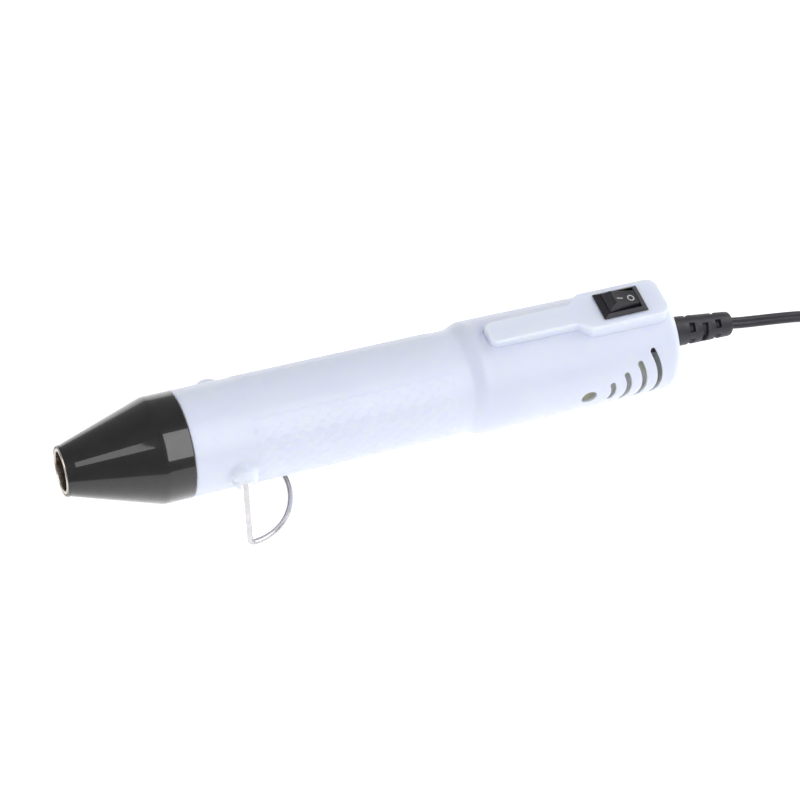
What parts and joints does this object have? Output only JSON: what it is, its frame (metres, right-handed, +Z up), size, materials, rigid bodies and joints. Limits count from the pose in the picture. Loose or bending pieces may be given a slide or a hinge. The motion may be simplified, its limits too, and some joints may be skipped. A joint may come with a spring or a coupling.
{
  "type": "hot air tool",
  "caption": "Slim hand-held hot air tool: tapered steel nozzle, fold-out wire stand, stepped barrel with a raised rocker switch panel, side air vents, strain relief and coiled mains cord.",
  "frame": {"origin": "on the table, under the middle of the tool's box, cord, coil and plug left out", "axes": "+X towards the cord end, +Y towards the far side of the picture, +Z up; the tool stands nose-up on its wire stand"},
  "size_m": [0.4511, 0.0866, 0.0751],
  "materials": {
    "shell_white": "satin",
    "nozzle_enamel": "gloss",
    "bright_steel": "bright",
    "mica": "satin",
    "heat_wire": "oxidised",
    "phenolic": "matt",
    "carrier_plastic": "matt",
    "fan_plastic": "satin",
    "can_steel": "plated",
    "brass": "bright",
    "board_resin": "matt",
    "component_black": "gloss",
    "capacitor_blue": "gloss",
    "switch_black": "satin",
    "lead_red": "satin",
    "lead_white": "satin",
    "cord_black": "satin"
  },
  "bodies": {
    "body": {"housing": "shell_white", "nozzle": "nozzle_enamel", "heater_tube": "bright_steel", "heater_ring": "phenolic", "mica_tube": "mica", "heater_card_level": "mica", "heater_card_upright": "mica", "heater_spider": "mica", "heating_coil": "heat_wire", "thermal_cutout": "can_steel", "thermal_fuse": "brass", "motor_carrier": "carrier_plastic", "motor_can": "can_steel", "motor_end_cap": "carrier_plastic", "motor_tab_near": "brass", "motor_tab_far": "brass", "rectifier_board": "board_resin", "diode_1": "component_black", "diode_2": "component_black", "diode_3": "component_black", "diode_4": "component_black", "smoothing_capacitor": "capacitor_blue", "switch_body": "switch_black", "switch_terminal_front": "brass", "switch_terminal_rear": "brass", "heater_lead_near": "lead_red", "heater_lead_far": "lead_white", "cord_tail": "lead_white", "strain_relief": "cord_black", "cord": "cord_black", "cord_coil": "cord_black", "coil_tie": "cord_black", "plug_body": "cord_black", "plug_blade_1": "brass", "plug_blade_2": "brass"},
    "stand": {"bail": "bright_steel"},
    "rocker": {"switch_rocker": "switch_black"},
    "rotor": {"fan": "fan_plastic", "motor_shaft": "bright_steel"}
  },
  "joints": [
    {"name": "bail_hinge", "type": "hinge", "parent": "body", "child": "stand", "pos_m": [-0.08247, 0, 0.0482], "axis": [0, 1, 0], "range_deg": [-27, 97]},
    {"name": "rocker_hinge", "type": "hinge", "parent": "body", "child": "rocker", "pos_m": [0.09971, 0, 0.05334], "axis": [0, 1, 0], "range_deg": [-30, 0]},
    {"name": "fan_spin", "type": "hinge", "parent": "body", "child": "rotor", "pos_m": [-0.0394, 0, 0.04292], "axis": [0.9925, 0, -0.1219], "continuous": true}
  ]
}
